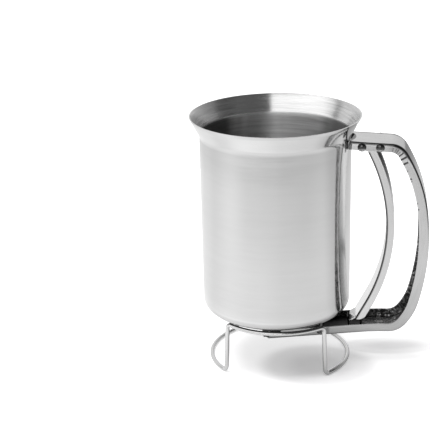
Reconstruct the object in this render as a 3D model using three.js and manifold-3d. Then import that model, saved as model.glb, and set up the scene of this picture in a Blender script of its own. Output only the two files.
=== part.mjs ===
// Pancake batter dispenser: a flared steel cup with a funnel bottom and a channel handle.
// Squeezing the trigger pulls a slide gate from under the outlet. The cup stands in a bent wire stand.
// Millimetres and degrees, +Z up, +X out along the handle, floor at Z = 0.
import * as THREE from "three";
import { mergeVertices } from "three/addons/utils/BufferGeometryUtils.js";
import Module from "manifold-3d";

const wasm = await Module();
wasm.setup();
const radians = THREE.MathUtils.degToRad;

// Clearances
const seatGap = 0.3; // between a piece and what it rests on or is joined to
const headGap = 0.1; // under a rivet head
const runningGap = 0.1; // round a pin in its hole
const overrun = 4; // how far a cut runs past what it cuts

// Cup
const cupHeight = 179; // rim above the floor
const bodyRadius = 52;
const rimSpread = 6.9; // of the rim past the wall
const rimRadius = bodyRadius + rimSpread;
const flareDrop = 13; // from the rim down to where the flare's line meets the wall
const flareBlend = 8;
const shoulderHeight = 41.8; // where the wall's line meets the funnel's line
const shoulderBlend = 8.2;
const funnelSlope = radians(25.2);
const cupSheet = 0.8;
const cupSides = 64;

// Outlet ferrule
const outletBore = 11;
const ferruleWall = 0.8;
const ferruleLip = 2.4; // how far the lip spreads past the tube inside the funnel
const ferruleSides = 32;

// Handle channel
const channelWidth = 27;
const channelSheet = 0.8;
const channelFold = 1.5; // outer radius of the folds between web and flanges
const topBarDrop = 14.9; // of the web's outer face below the rim, at the cup's wall
const topBarHeight = cupHeight - topBarDrop;
const topBarSlope = radians(2.9);
const topBarLength = 26.5;
const topFlange = 5.7;
const gripFlange = 7;
const bottomFlange = 6.2;
const funnelTipRise = 1.3; // of the funnel's tip above the closed gate
const bottomSlope = radians(6.6);
const bottomEnd = 10.5; // how far the channel runs past the cup's axis
const endBevelLength = 6.5;
const endBevelWidth = 9.5;
const reliefWidth = 18; // hollow cut in the top web where it meets the cup
const reliefDepth = 3.1;
const outletClearance = 0.5; // round the ferrule's outer wall in the channel's hole
// Radii of the grip's arcs as shares of their sum, and the angle that each one turns
const gripArcShares = [
  [0.0263, radians(55.5)],
  [0.2035, radians(25)],
  [0.3278, radians(22)],
  [0.0832, radians(24.5)],
];
const lowerBendShare = 0.0301;
const sagShare = 0.3291; // of the slight arc back up to the lower run, behind the bend
const sagTurn = radians(6.3);

// Rivets
const rivetRadius = 1;
const rivetHeadRadius = 2.95;
const rivetHeadHeight = 1.9;
const rivetSides = 16;
const pivotOut = 7.1; // of the trigger's pivot from the cup's wall
const pivotDepth = 3.5; // of its centre below the top bar's outer face
const anchorSpacing = 12.2; // from the pivot to the rivet that the spring's short leg bears on
const anchorDepth = 3.1;
const guideReach = 32.9; // along the bottom channel
const guideLift = 3.34; // above its outer face

// Trigger
const triggerSheet = 0.8;
const triggerFold = 1.3;
const triggerFlange = 5.5;
const triggerTopOut = 3.7; // of the web's upper end past the pivot
const triggerTopFall = 3.3; // of that end below the pivot
const triggerLead = radians(65); // slope of the upper end below the horizontal
const triggerBow = radians(52.9);
const triggerLift = 10.3; // of the web's lower end above the channel's outer face
// The straight lead, the bow's radius and the straight tail as shares of their sum
const triggerLeadShare = 0.045;
const triggerBowShare = 0.855;
const triggerTailShare = 0.1;
const tongueWidth = 17;
const tongueLength = 5;
const tongueBend = radians(28);
const earRadius = 2;
const washerThickness = 0.5;
const washerRadius = 2.2;
const squeezeAngle = radians(8.5);

// Return spring round the pivot
const springWire = 0.7;
const springTurns = 6.5;
const springPitch = 1.3;
const springGap = 0.35; // between the spring and what it lies on
const springStepsPerTurn = 8;
const springWireSides = 5;
const shortLegEnd = 1.6; // past the anchor rivet
const longLegLength = 8.4;

// Slide gate
const gateSheet = 0.8;
const gateFold = 1.1;
const gateCover = 2; // how far the closed gate runs past the ferrule
const gateSideHeight = 4.3;
const gateSideMargin = 4.5; // of the sides past the guide slot's ends
const slotGap = 0.2;
const lugClearance = 0.8; // between the tongue and each lug
const frontLugWidth = 8;
const frontLugRise = 1; // above the tongue's tip
const rearLugWidth = 14;
const rearLugRise = 2.2; // up the trigger's web from its end

// Stand
const wireRadius = 1.5;
const wireSides = 10;
const standInset = 4.7; // of the top arcs' line inside the cup's wall
const standSpread = 1.7; // of the floor arcs past the top arcs
const standTopRadius = bodyRadius - standInset;
const standFootRadius = standTopRadius + standSpread;
const standBend = 3.6;
const standShift = 2; // the ring's centre lies this far towards the handle
const standArcStep = radians(9);

// Welds
const weldRadius = 1.1;
const topWeldLength = 2.6;
const bottomWeldLength = 6;

const arcTolerance = 0.1;
const blendStep = radians(15);
const foldStep = radians(30);
const mergeDistance = 1e-4;
const half = 0.5;

// Lines and outlines, as lists of [across, up] points

function unit([a, b]) {
  const length = Math.hypot(a, b);
  return [a / length, b / length];
}

function moved([a, b], [da, db], distance) {
  return [a + da * distance, b + db * distance];
}

// The corners [a, b, radius] joined by straight lines, with an arc of that radius in each corner
function roundedLine(corners, stepAngle) {
  const points = [];
  corners.forEach(([a, b, radius], i) => {
    if (!radius || i === 0 || i === corners.length - 1) {
      points.push([a, b]);
      return;
    }
    const before = unit([corners[i - 1][0] - a, corners[i - 1][1] - b]);
    const after = unit([corners[i + 1][0] - a, corners[i + 1][1] - b]);
    const between = Math.acos(before[0] * after[0] + before[1] * after[1]);
    const turn = Math.PI - between;
    const middle = unit([before[0] + after[0], before[1] + after[1]]);
    const centre = moved([a, b], middle, radius / Math.sin(between * half));
    const steps = Math.max(1, Math.ceil(turn / stepAngle));
    const first = moved([a, b], before, radius * Math.tan(turn * half));
    const start = Math.atan2(first[1] - centre[1], first[0] - centre[0]);
    const clockwise = before[0] * after[1] - before[1] * after[0] > 0;
    for (let k = 0; k <= steps; k++) {
      const angle = start + ((clockwise ? -turn : turn) * k) / steps;
      points.push(moved(centre, [Math.cos(angle), Math.sin(angle)], radius));
    }
  });
  return points;
}

// A line drawn by heading: straight runs { run } and clockwise arcs { radius, turn }
function headedLine(start, heading, pieces) {
  const stations = [{ point: start, heading }];
  for (const { run, radius, turn } of pieces) {
    let { point, heading: now } = stations[stations.length - 1];
    if (run !== undefined) {
      stations.push({ point: moved(point, [Math.cos(now), Math.sin(now)], run), heading: now });
      continue;
    }
    const steps = Math.ceil(Math.abs(turn / (2 * Math.acos(1 - arcTolerance / Math.abs(radius)))));
    const step = turn / steps;
    const chord = 2 * radius * Math.sin(step * half);
    for (let k = 0; k < steps; k++) {
      const along = now - step * half;
      point = moved(point, [Math.cos(along), Math.sin(along)], chord);
      now -= step;
      stations.push({ point, heading: now });
    }
  }
  return stations;
}

// The same sheet line and its other face, as one closed outline
function stripOutline(line, thickness) {
  const other = line.map((p, i) => {
    const before = unit(i > 0 ? [p[0] - line[i - 1][0], p[1] - line[i - 1][1]]
      : [line[1][0] - p[0], line[1][1] - p[1]]);
    const after = unit(i < line.length - 1 ? [line[i + 1][0] - p[0], line[i + 1][1] - p[1]]
      : before);
    const along = unit([before[0] + after[0], before[1] + after[1]]);
    const mitre = before[0] * along[0] + before[1] * along[1];
    return moved(p, [-along[1], along[0]], thickness / mitre);
  });
  return [...line, ...other.reverse()];
}

function shapeOf(points) {
  return new THREE.Shape(points.map(([a, b]) => new THREE.Vector2(a, b)));
}

// Solids

function manifoldOf(positions, triVerts) {
  return new wasm.Manifold(new wasm.Mesh({ numProp: 3, vertProperties: positions, triVerts }));
}

// A closed geometry as a solid with its faces turned outward
function solid(geometry) {
  const bare = geometry.clone();
  bare.deleteAttribute("normal");
  bare.deleteAttribute("uv");
  const merged = mergeVertices(bare, mergeDistance);
  const triVerts = new Uint32Array(merged.index.array);
  const made = manifoldOf(merged.attributes.position.array, triVerts);
  if (made.volume() >= 0) return made;
  for (let i = 0; i < triVerts.length; i += 3) {
    [triVerts[i + 1], triVerts[i + 2]] = [triVerts[i + 2], triVerts[i + 1]];
  }
  return manifoldOf(merged.attributes.position.array, triVerts);
}

function geometryOf(made) {
  const { numProp, numVert, vertProperties, triVerts } = made.getMesh();
  const positions = new Float32Array(numVert * 3);
  for (let i = 0; i < numVert; i++) {
    positions.set(vertProperties.subarray(i * numProp, i * numProp + 3), i * 3);
  }
  return new THREE.BufferGeometry()
    .setAttribute("position", new THREE.BufferAttribute(positions, 3))
    .setIndex(new THREE.BufferAttribute(triVerts, 1));
}

// An outline in X and Z made solid across the width, centred on y
function sidePrism(points, width, y = 0) {
  const geometry = new THREE.ExtrudeGeometry(shapeOf(points), { depth: width, bevelEnabled: false });
  return solid(geometry.rotateX(Math.PI * half).translate(0, y + width * half, 0));
}

// An outline in X and Y made solid between two heights
function planPrism(points, low, high) {
  const geometry = new THREE.ExtrudeGeometry(shapeOf(points), { depth: high - low, bevelEnabled: false });
  return solid(geometry.translate(0, 0, low));
}

// An outline of [radius, height] points turned round Z
function turned(points, sides) {
  const profile = points.map(([radius, height]) => new THREE.Vector2(radius, height));
  return solid(new THREE.LatheGeometry(profile, sides).rotateX(Math.PI * half));
}

// A round bar along Y
function crossBar(radius, length, [x, z], sides = rivetSides) {
  return solid(new THREE.CylinderGeometry(radius, radius, length, sides).translate(x, 0, z));
}

// A curve through given stations, each with its own side and up directions
class StationCurve extends THREE.Curve {
  constructor(stations) {
    super();
    this.stations = stations;
  }

  getPointAt(share, target = new THREE.Vector3()) {
    return target.copy(this.stations[Math.round(share * (this.stations.length - 1))].point);
  }

  computeFrenetFrames() {
    return {
      tangents: this.stations.map(({ side, up }) => side.clone().cross(up)),
      normals: this.stations.map(({ side }) => side),
      binormals: this.stations.map(({ up }) => up),
    };
  }
}

// A section of [side, up] points swept through the stations
function swept(section, stations) {
  return solid(new THREE.ExtrudeGeometry(shapeOf(section), {
    steps: stations.length - 1,
    extrudePath: new StationCurve(stations),
    bevelEnabled: false,
  }));
}

// A channel's section: web at 0, flanges rising to the given depth, folds rounded
function channelSection(width, sheet, fold, depth) {
  const outer = roundedLine([
    [-width * half, depth, 0],
    [-width * half, 0, fold],
    [width * half, 0, fold],
    [width * half, depth, 0],
  ], foldStep);
  const inside = width * half - sheet;
  const inner = roundedLine([
    [inside, depth, 0],
    [inside, sheet, fold - sheet],
    [-inside, sheet, fold - sheet],
    [-inside, depth, 0],
  ], foldStep);
  return [...outer, ...inner];
}

// Stations in the XZ plane from a headed line; opens to the left or right of its heading
function channelStations(line, opens) {
  return line.map(({ point: [x, z], heading }) => ({
    point: new THREE.Vector3(x, 0, z),
    side: new THREE.Vector3(0, 1, 0),
    up: new THREE.Vector3(-Math.sin(heading) * opens, 0, Math.cos(heading) * opens),
  }));
}

// The cup's wall line, moved in by an inset (out when it is negative)
const flareLean = Math.atan2(rimRadius - bodyRadius, flareDrop);

function funnelHeight(radius, inset = 0) {
  return shoulderHeight - (bodyRadius - radius) * Math.tan(funnelSlope) + inset / Math.cos(funnelSlope);
}

function wallLine(inset, endRadius) {
  const rim = rimRadius - inset / Math.cos(flareLean);
  const wall = bodyRadius - inset;
  return roundedLine([
    [rim, cupHeight, 0],
    [wall, cupHeight - (rim - wall) / Math.tan(flareLean), flareBlend + inset],
    [wall, funnelHeight(wall, inset), shoulderBlend - inset],
    [endRadius, funnelHeight(endRadius, inset), 0],
  ], blendStep);
}

const ferruleRadius = outletBore * half + ferruleWall;
const funnelMouth = ferruleRadius + seatGap;

function cupBody() {
  const outside = wallLine(0, funnelMouth);
  const inside = wallLine(cupSheet, funnelMouth).reverse();
  return turned([...outside, ...inside, outside[0]], cupSides);
}

// All that lies inside the cup's outer face, grown by the seat gap
function cupSpace() {
  const outside = wallLine(-seatGap, ferruleRadius);
  const foot = outside[outside.length - 1][1];
  return turned([[0, cupHeight], ...outside, [0, foot]], cupSides);
}

// Handle channel. Its lower run is straight and carries the gate under the funnel's mouth.

const lowerHeading = bottomSlope - Math.PI;
const gateFloor = channelSheet + seatGap; // above the channel's outer face
const gateTop = gateFloor + gateSheet;
const bottomHeight = funnelHeight(funnelMouth) - funnelTipRise - gateTop / Math.cos(bottomSlope);

// A place given along and above the lower run, as [x, z]
function onLowerRun(along, lift) {
  const foot = moved([0, bottomHeight], [Math.cos(bottomSlope), Math.sin(bottomSlope)], along);
  return moved(foot, [-Math.sin(bottomSlope), Math.cos(bottomSlope)], lift);
}

// [x, z] as a place along and above the lower run
function alongLowerRun([x, z]) {
  const c = Math.cos(bottomSlope);
  const s = Math.sin(bottomSlope);
  return [x * c + (z - bottomHeight) * s, -x * s + (z - bottomHeight) * c];
}

// The size at which a line drawn from shares ends at the given lift above the lower run
function sizeToReach(start, heading, piecesOf, lift) {
  const trialSize = cupHeight;
  const trial = headedLine(start, heading, piecesOf(trialSize));
  const from = alongLowerRun(start)[1];
  const to = alongLowerRun(trial[trial.length - 1].point)[1];
  return (trialSize * (lift - from)) / (to - from);
}

function topBarOuter(x) {
  return topBarHeight - (x - bodyRadius) * Math.tan(topBarSlope);
}

// The grip's arcs for a sum of their radii. The last one ends at the lower run's heading.
function gripPieces(sum) {
  const turnedSoFar = gripArcShares.reduce((total, [, turn]) => total + turn, topBarSlope);
  return [
    ...gripArcShares.map(([share, turn]) => ({ radius: share * sum, turn })),
    { radius: lowerBendShare * sum, turn: sagTurn - lowerHeading - turnedSoFar },
    { radius: -sagShare * sum, turn: -sagTurn },
  ];
}

function handleLine() {
  const start = [bodyRadius - overrun, topBarOuter(bodyRadius - overrun)];
  const bar = headedLine(start, -topBarSlope, [{ run: overrun + topBarLength }]);
  const barEnd = bar[bar.length - 1];
  const sum = sizeToReach(barEnd.point, -topBarSlope, gripPieces, 0);
  const grip = headedLine(barEnd.point, -topBarSlope, gripPieces(sum));
  const gripEnd = grip[grip.length - 1].point;
  const run = (gripEnd[0] + bottomEnd) / Math.cos(bottomSlope);
  const [, last] = headedLine(gripEnd, lowerHeading, [{ run }]);
  return [...bar, ...grip.slice(1), last];
}

const handleRun = handleLine();
const handleReach = Math.max(...handleRun.map(({ point }) => point[0]));

// The flange's depth changes with the heading, from the top bar through the grip to the lower run
function flangeDepth(heading) {
  const share = Math.abs(heading) / (Math.PI * half);
  return share < 1
    ? THREE.MathUtils.lerp(topFlange, gripFlange, share * share)
    : THREE.MathUtils.lerp(gripFlange, bottomFlange, share - 1);
}

// The hand's side of the flanges, as a solid that trims them to their depth
function handSpace() {
  const edge = handleRun.map(({ point, heading }) =>
    moved(point, [Math.sin(heading), -Math.cos(heading)], flangeDepth(heading)));
  return sidePrism(edge, channelWidth + overrun);
}

function handleChannel(cup) {
  const deep = Math.max(topFlange, gripFlange, bottomFlange) + seatGap;
  const section = channelSection(channelWidth, channelSheet, channelFold, deep);
  const wide = channelWidth + overrun;
  const reliefRadius = (reliefWidth ** 2 * half * half + reliefDepth ** 2) / (2 * reliefDepth);
  const reliefCentre = bodyRadius + seatGap + reliefDepth - reliefRadius;
  const relief = turned([
    [0, topBarHeight - topFlange],
    [reliefRadius, topBarHeight - topFlange],
    [reliefRadius, topBarHeight + overrun],
    [0, topBarHeight + overrun],
  ], cupSides).translate([reliefCentre, 0, 0]);
  const outlet = turned([
    [0, 0],
    [ferruleRadius + outletClearance, 0],
    [ferruleRadius + outletClearance, shoulderHeight],
    [0, shoulderHeight],
  ], ferruleSides);
  let made = swept(section, channelStations(handleRun, -1)).subtract(handSpace());
  for (const sideSign of [-1, 1]) {
    const bevel = planPrism([
      [-bottomEnd - overrun, sideSign * (channelWidth * half - endBevelWidth)],
      [-bottomEnd, sideSign * (channelWidth * half - endBevelWidth)],
      [-bottomEnd + endBevelLength, sideSign * channelWidth * half],
      [-bottomEnd + endBevelLength, sideSign * wide],
      [-bottomEnd - overrun, sideSign * wide],
    ], 0, shoulderHeight);
    made = made.subtract(bevel);
  }
  for (const place of [pivotPlace, anchorPlace, guidePlace]) {
    made = made.subtract(crossBar(rivetRadius + runningGap, wide, place));
  }
  return made.subtract(relief).subtract(outlet).subtract(cup);
}

// Rivets through both flanges

const pivotReach = bodyRadius + pivotOut;
const anchorReach = pivotReach + anchorSpacing;
const pivotPlace = [pivotReach, topBarOuter(pivotReach) - pivotDepth];
const anchorPlace = [anchorReach, topBarOuter(anchorReach) - anchorDepth];
const guidePlace = onLowerRun(guideReach, guideLift);

function rivet() {
  const face = channelWidth * half + headGap;
  const sphere = (rivetHeadRadius ** 2 + rivetHeadHeight ** 2) / (2 * rivetHeadHeight);
  const rimAngle = Math.asin(rivetHeadRadius / sphere);
  const domeSteps = 4;
  const dome = [];
  for (let k = 0; k <= domeSteps; k++) {
    const angle = (rimAngle * k) / domeSteps;
    dome.push([sphere * Math.sin(angle), face + rivetHeadHeight - sphere * (1 - Math.cos(angle))]);
  }
  const near = dome.map(([radius, height]) => [radius, -height]).reverse();
  const profile = [...dome, [rivetRadius, face], [rivetRadius, -face], ...near];
  const points = profile.map(([radius, height]) => new THREE.Vector2(radius, height));
  return solid(new THREE.LatheGeometry(points, rivetSides));
}

function ferrule() {
  const top = ferruleRadius + ferruleLip;
  const seat = (radius, inset) => [radius, funnelHeight(radius, inset)];
  const made = turned([
    [outletBore * half, 0],
    [ferruleRadius, 0],
    seat(ferruleRadius, cupSheet + seatGap),
    seat(top, cupSheet + seatGap),
    seat(top, cupSheet + seatGap + ferruleWall),
    seat(outletBore * half, cupSheet + seatGap + ferruleWall),
    [outletBore * half, 0],
  ], ferruleSides);
  // The tube ends just above the gate, cut to its slope
  const below = sidePrism([
    onLowerRun(-bodyRadius, gateTop + seatGap),
    onLowerRun(bodyRadius, gateTop + seatGap),
    [bodyRadius, -overrun],
    [-bodyRadius, -overrun],
  ], channelWidth);
  return made.subtract(below);
}

// Trigger

const triggerWidth = channelWidth - 2 * (channelSheet + washerThickness + 2 * seatGap);

function triggerPieces(sum) {
  return [
    { run: triggerLeadShare * sum },
    { radius: triggerBowShare * sum, turn: triggerBow },
    { run: triggerTailShare * sum },
  ];
}

const triggerTop = [pivotPlace[0] + triggerTopOut, pivotPlace[1] - triggerTopFall];
const triggerSum = sizeToReach(triggerTop, -triggerLead, triggerPieces, triggerLift);
const triggerRun = headedLine(triggerTop, -triggerLead, triggerPieces(triggerSum));
const triggerEnd = triggerRun[triggerRun.length - 1];

function headingVector(heading) {
  return [Math.cos(heading), Math.sin(heading)];
}

function tongueLine() {
  const along = headingVector(triggerEnd.heading);
  const bent = headingVector(triggerEnd.heading - tongueBend);
  const root = moved(triggerEnd.point, along, -triggerFlange * half);
  return [root, triggerEnd.point, moved(triggerEnd.point, bent, tongueLength)];
}

// What rounds off the flanges' lower corner
function flangeCorner() {
  const along = headingVector(triggerEnd.heading);
  const across = [-along[1], along[0]];
  const centre = moved(triggerEnd.point, along, -triggerFlange);
  const cornerSteps = 6;
  const arc = [];
  for (let k = 0; k <= cornerSteps; k++) {
    const angle = (Math.PI * half * k) / cornerSteps;
    arc.push(moved(moved(centre, along, triggerFlange * Math.cos(angle)), across, triggerFlange * Math.sin(angle)));
  }
  const far = triggerFlange + overrun;
  return sidePrism([
    ...arc,
    moved(centre, across, far),
    moved(moved(centre, across, far), along, far),
    moved(centre, along, far),
  ], triggerWidth + overrun);
}

// The gate moves as far as the tongue's tip swings
const [, , tongueTip] = tongueLine();
const tipReach = Math.hypot(tongueTip[0] - pivotPlace[0], tongueTip[1] - pivotPlace[1]);
const gateTravel = 2 * tipReach * Math.sin(squeezeAngle * half);

// A plate with a round end at the pivot and another in the middle of the flange's top
function earOutline() {
  const across = headingVector(Math.PI * half - triggerLead);
  const far = moved(triggerTop, across, triggerFlange * half);
  const tilt = Math.atan2(far[1] - pivotPlace[1], far[0] - pivotPlace[0]);
  const steps = 8;
  const outline = [];
  for (const [centre, start] of [[pivotPlace, Math.PI * half], [far, -Math.PI * half]]) {
    for (let k = 0; k <= steps; k++) {
      const angle = tilt + start + (Math.PI * k) / steps;
      outline.push(moved(centre, headingVector(angle), earRadius));
    }
  }
  return outline;
}

function triggerLever() {
  const section = channelSection(triggerWidth, triggerSheet, triggerFold, triggerFlange);
  let made = swept(section, channelStations(triggerRun, 1)).subtract(flangeCorner());
  for (const sideSign of [-1, 1]) {
    const y = sideSign * (triggerWidth - triggerSheet) * half;
    made = made.add(sidePrism(earOutline(), triggerSheet, y));
  }
  made = made.add(sidePrism(stripOutline(tongueLine(), triggerSheet), tongueWidth));
  return made.subtract(crossBar(rivetRadius + runningGap, channelWidth, pivotPlace));
}

function pivotWasher(sideSign) {
  const inner = rivetRadius + runningGap;
  const profile = [
    [inner, -washerThickness * half],
    [washerRadius, -washerThickness * half],
    [washerRadius, washerThickness * half],
    [inner, washerThickness * half],
    [inner, -washerThickness * half],
  ].map(([radius, height]) => new THREE.Vector2(radius, height));
  const y = sideSign * (triggerWidth * half + seatGap + washerThickness * half);
  const [x, z] = pivotPlace;
  return solid(new THREE.LatheGeometry(profile, rivetSides).translate(x, y, z));
}

// Return spring: a coil round the pivot. Its first leg runs under the anchor rivet. Its second leg
// lies behind the trigger's web, leaning off it by the squeeze angle so that it clears when squeezed.

function springLine() {
  const [x, z] = pivotPlace;
  const wire = springWire * half;
  const coil = rivetRadius + springGap + wire;
  const steps = springTurns * springStepsPerTurn;
  const coilHalf = springTurns * springPitch * half;
  const anchorFoot = anchorPlace[1] - rivetRadius - springGap - wire;
  const points = [new THREE.Vector3(anchorPlace[0] + shortLegEnd, -coilHalf, anchorFoot)];
  for (let k = 0; k <= steps; k++) {
    const angle = -Math.PI * half - (2 * Math.PI * k) / springStepsPerTurn;
    const y = -coilHalf + (springPitch * k) / springStepsPerTurn;
    points.push(new THREE.Vector3(x + coil * Math.cos(angle), y, z + coil * Math.sin(angle)));
  }
  // The web's inner face keeps its distance from the pivot as the trigger turns
  const across = headingVector(Math.PI * half - triggerLead);
  const webReach = triggerTopOut * across[0] - triggerTopFall * across[1] + triggerSheet;
  const legReach = webReach + springGap + wire;
  const lean = triggerLead - squeezeAngle;
  const bendX = (legReach - coil * Math.cos(lean)) / Math.sin(lean);
  const bend = new THREE.Vector3(x + bendX, coilHalf, z + coil);
  const [dx, dz] = headingVector(-lean);
  const end = bend.clone().add(new THREE.Vector3(dx * longLegLength, 0, dz * longLegLength));
  return [...points, bend, end];
}

// The least distance between the surfaces of neighbouring turns, on the line's own points
function leastGap(points) {
  const far = springStepsPerTurn * half;
  let least = Infinity;
  points.forEach((p, i) => points.slice(i + far).forEach((q) => {
    least = Math.min(least, p.distanceTo(q) - springWire);
  }));
  return least;
}

function polygon(radius, sides, firstAngle = 0) {
  return Array.from({ length: sides }, (_, k) =>
    moved([0, 0], headingVector(firstAngle + (2 * Math.PI * k) / sides), radius));
}

function returnSpring() {
  const points = springLine();
  console.log("return spring, least gap between turns:", leastGap(points).toFixed(2), "mm");
  let side = new THREE.Vector3(0, 1, 0);
  const stations = points.map((point, i) => {
    const before = points[Math.max(i - 1, 0)];
    const after = points[Math.min(i + 1, points.length - 1)];
    const along = after.clone().sub(before).normalize();
    side = side.clone().addScaledVector(along, -side.dot(along)).normalize();
    return { point, side, up: along.clone().cross(side) };
  });
  return swept(polygon(springWire * half, springWireSides), stations);
}

// Slide gate, drawn along the channel's lower run with its outer face at height 0

function placeOnLowerRun(made) {
  const geometry = geometryOf(made).rotateY(-bottomSlope).translate(0, 0, bottomHeight);
  return solid(geometry);
}

function slideGate() {
  const width = channelWidth - 2 * (channelSheet + seatGap);
  const [tipAlong, tipLift] = alongLowerRun(tongueTip);
  const webFace = moved(triggerEnd.point, headingVector(triggerEnd.heading + Math.PI * half), triggerSheet);
  const webTouch = moved(webFace, headingVector(triggerEnd.heading), -rearLugRise);
  const [webAlong, webLift] = alongLowerRun(webTouch);
  const front = tipAlong - lugClearance - gateSheet;
  const rear = webAlong + lugClearance;
  const start = -ferruleRadius - gateCover;
  const end = rear + gateSheet;
  const slotStart = guideReach - gateTravel;
  const section = channelSection(width, gateSheet, gateFold, gateSideHeight);
  const stations = [start, end].map((x) => ({
    point: new THREE.Vector3(x, 0, gateFloor),
    side: new THREE.Vector3(0, 1, 0),
    up: new THREE.Vector3(0, 0, 1),
  }));
  let made = swept(section, stations);
  const wide = width + overrun;
  const sideTop = gateFloor + gateSideHeight + overrun;
  for (const [from, to] of [
    [start - overrun, slotStart - gateSideMargin],
    [guideReach + gateSideMargin, end + overrun],
  ]) {
    made = made.subtract(sidePrism([
      [from, gateTop + seatGap],
      [to, gateTop + seatGap],
      [to, sideTop],
      [from, sideTop],
    ], wide));
  }
  const slot = rivetRadius + slotGap;
  for (const x of [slotStart, guideReach]) {
    made = made.subtract(crossBar(slot, wide, [x, guideLift]));
  }
  made = made.subtract(sidePrism([
    [slotStart, guideLift - slot],
    [guideReach, guideLift - slot],
    [guideReach, guideLift + slot],
    [slotStart, guideLift + slot],
  ], wide));
  for (const [x, top, lugWidth] of [
    [front, tipLift + frontLugRise, frontLugWidth],
    [rear, webLift, rearLugWidth],
  ]) {
    made = made.add(sidePrism([
      [x, gateFloor],
      [x + gateSheet, gateFloor],
      [x + gateSheet, top],
      [x, top],
    ], lugWidth));
  }
  return placeOnLowerRun(made);
}

// Wire stand: one wire that runs round a slightly tapered drum, up and down its four legs.
// The cup's funnel rests on the two top arcs, nearest at the corners away from the handle.

function standWire() {
  const quarter = Math.PI * half;
  const cornerRadius = Math.hypot(
    standTopRadius * Math.cos(quarter * half) - standShift,
    standTopRadius * Math.sin(quarter * half),
  );
  const reach = wireRadius + seatGap;
  const top = funnelHeight(cornerRadius - reach * Math.sin(funnelSlope)) - reach * Math.cos(funnelSlope);
  const foot = wireRadius * Math.cos(Math.PI / wireSides);
  const corners = [[quarter, top, 0]];
  for (let leg = 0; leg < 4; leg++) {
    const angle = quarter * (leg + 1 + half);
    const downward = leg % 2 === 0;
    corners.push([angle, downward ? top : foot, standBend]);
    corners.push([angle, downward ? foot : top, standBend]);
  }
  corners.push([quarter * 5, top, 0]);
  // The drum is unrolled to draw the corners' bends, then rolled up again
  const unrolled = corners.map(([angle, z, bend]) => [angle * standTopRadius, z, bend]);
  const line = roundedLine(unrolled, blendStep).flatMap((p, i, all) => {
    if (i === 0) return [p];
    const [a0, z0] = all[i - 1];
    const steps = Math.ceil(Math.abs(p[0] - a0) / (standTopRadius * standArcStep));
    return Array.from({ length: Math.max(steps, 1) }, (_, k) => {
      const share = (k + 1) / Math.max(steps, 1);
      return [a0 + (p[0] - a0) * share, z0 + (p[1] - z0) * share];
    });
  });
  const buttAngle = (seatGap * half) / standTopRadius;
  const first = quarter + buttAngle;
  const last = quarter * 5 - buttAngle;
  const points = line.map(([a, z]) => {
    const angle = THREE.MathUtils.clamp(a / standTopRadius, first, last);
    const radius = THREE.MathUtils.mapLinear(z, foot, top, standFootRadius, standTopRadius);
    return new THREE.Vector3(standShift + radius * Math.cos(angle), radius * Math.sin(angle), z);
  });
  const stations = points.map((point, i) => {
    const before = points[Math.max(i - 1, 0)];
    const after = points[Math.min(i + 1, points.length - 1)];
    const along = after.clone().sub(before).normalize();
    const side = new THREE.Vector3(point.x - standShift, point.y, 0).normalize();
    side.addScaledVector(along, -side.dot(along)).normalize();
    return { point, side, up: along.clone().cross(side) };
  });
  return swept(polygon(wireRadius, wireSides, -quarter - Math.PI / wireSides), stations);
}

// Weld beads in the corners between the handle's flanges and the cup

function topWeld(sideSign) {
  const y = channelWidth * half + seatGap + weldRadius;
  const x = Math.sqrt((bodyRadius + seatGap + weldRadius) ** 2 - y ** 2);
  const z = topBarOuter(x) - topFlange * half;
  const bead = new THREE.CapsuleGeometry(weldRadius, topWeldLength, 3, 10);
  return solid(bead.rotateX(Math.PI * half).translate(x, sideSign * y, z));
}

function bottomWeld(sideSign) {
  const y = channelWidth * half + seatGap + weldRadius;
  const z = funnelHeight(y) - (weldRadius + seatGap) / Math.cos(funnelSlope);
  const bead = new THREE.CapsuleGeometry(weldRadius, bottomWeldLength, 3, 10);
  return solid(bead.rotateZ(Math.PI * half).translate(0, sideSign * y, z));
}

// The assembly

function steel(color, roughness) {
  return new THREE.MeshStandardMaterial({ color, roughness, metalness: 1 });
}

const dispenser = new THREE.Group();
dispenser.name = "pancake_batter_dispenser";
dispenser.position.x = (rimRadius - handleReach) * half;
console.log("gate travel:", gateTravel.toFixed(2), "mm");

function addPiece(name, made, material, [x, z] = [0, 0]) {
  const mesh = new THREE.Mesh(geometryOf(made), material);
  mesh.name = name;
  mesh.position.set(x, 0, z);
  dispenser.add(mesh);
}

const satin = 0xc6c6c6;
const bright = 0xd6d6d6;
addPiece("cup_body", cupBody(), steel(satin, 0.34));
addPiece("outlet_ferrule", ferrule(), steel(bright, 0.25));
addPiece("handle_channel", handleChannel(cupSpace()), steel(satin, 0.3));
addPiece("pivot_rivet", rivet(), steel(bright, 0.15), pivotPlace);
addPiece("anchor_rivet", rivet(), steel(bright, 0.15), anchorPlace);
addPiece("guide_rivet", rivet(), steel(bright, 0.15), guidePlace);
addPiece("pivot_washer_near", pivotWasher(-1), steel(bright, 0.3));
addPiece("pivot_washer_far", pivotWasher(1), steel(bright, 0.3));
addPiece("top_weld_near", topWeld(-1), steel(satin, 0.45));
addPiece("top_weld_far", topWeld(1), steel(satin, 0.45));
addPiece("bottom_weld_near", bottomWeld(-1), steel(satin, 0.45));
addPiece("bottom_weld_far", bottomWeld(1), steel(satin, 0.45));
addPiece("trigger_lever", triggerLever(), steel(satin, 0.3));
addPiece("return_spring", returnSpring(), steel(bright, 0.3));
addPiece("slide_gate", slideGate(), steel(satin, 0.35));
addPiece("stand_wire", standWire(), steel(bright, 0.2));

export default dispenser;
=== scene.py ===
"""Looks of the pancake batter dispenser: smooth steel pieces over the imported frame, light and camera."""

import math

import bmesh
import bpy
from mathutils import Matrix, Vector


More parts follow.
